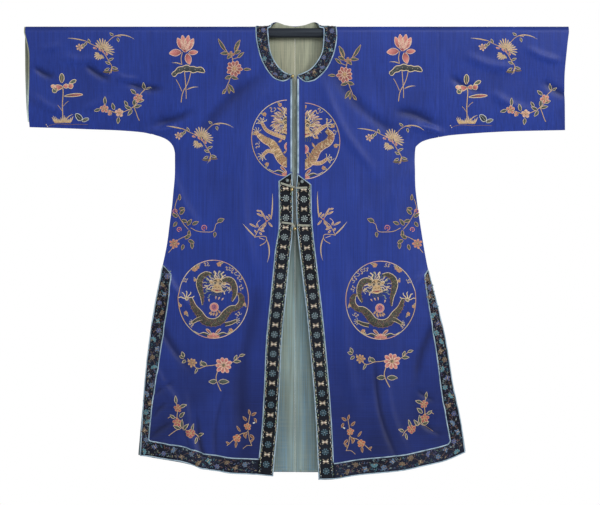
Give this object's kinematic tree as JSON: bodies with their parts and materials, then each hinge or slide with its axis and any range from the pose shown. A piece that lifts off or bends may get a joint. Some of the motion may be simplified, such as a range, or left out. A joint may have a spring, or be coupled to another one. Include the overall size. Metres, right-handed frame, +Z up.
{
  "type": "embroidered silk coat on a rod",
  "caption": "Embroidered silk surcoat hung flat on a plain rod through both sleeves, open down the front, slit at the sides, with figured borders.",
  "frame": {"origin": "on the rod's axis, at the middle of the coat", "axes": "the coat's front faces -Y, +X runs along the rod towards the wearer's left sleeve, +Z is up; the coat hangs down along -Z"},
  "size_m": [1.3025, 0.0561, 1.1012],
  "materials": {
    "silk": "satin",
    "lining": "satin",
    "front_border": "matte",
    "side_border": "matte",
    "piping": "satin",
    "strap": "satin",
    "gilt": "polished",
    "wood": "satin"
  },
  "bodies": {
    "root": {"rod": "wood", "body_right": "silk", "sleeve_right": "silk", "lining_right": "lining", "sleeve_lining_right": "lining", "front_border_right": "front_border", "front_piping_right": "piping", "side_border_front_right": "side_border", "side_piping_front_right": "piping", "side_border_back_right": "side_border", "side_piping_back_right": "piping", "edge_piping_right": "piping", "body_left": "silk", "sleeve_left": "silk", "lining_left": "lining", "sleeve_lining_left": "lining", "front_border_left": "front_border", "front_piping_left": "piping", "side_border_front_left": "side_border", "side_piping_front_left": "piping", "side_border_back_left": "side_border", "side_piping_back_left": "piping", "edge_piping_left": "piping", "collar_band": "side_border", "collar_piping": "piping", "strap_right_chest": "strap", "strap_left_chest": "strap", "strap_right_waist": "strap", "strap_left_waist": "strap", "button_neck": "gilt", "button_chest": "gilt", "button_waist": "gilt"}
  },
  "joints": []
}
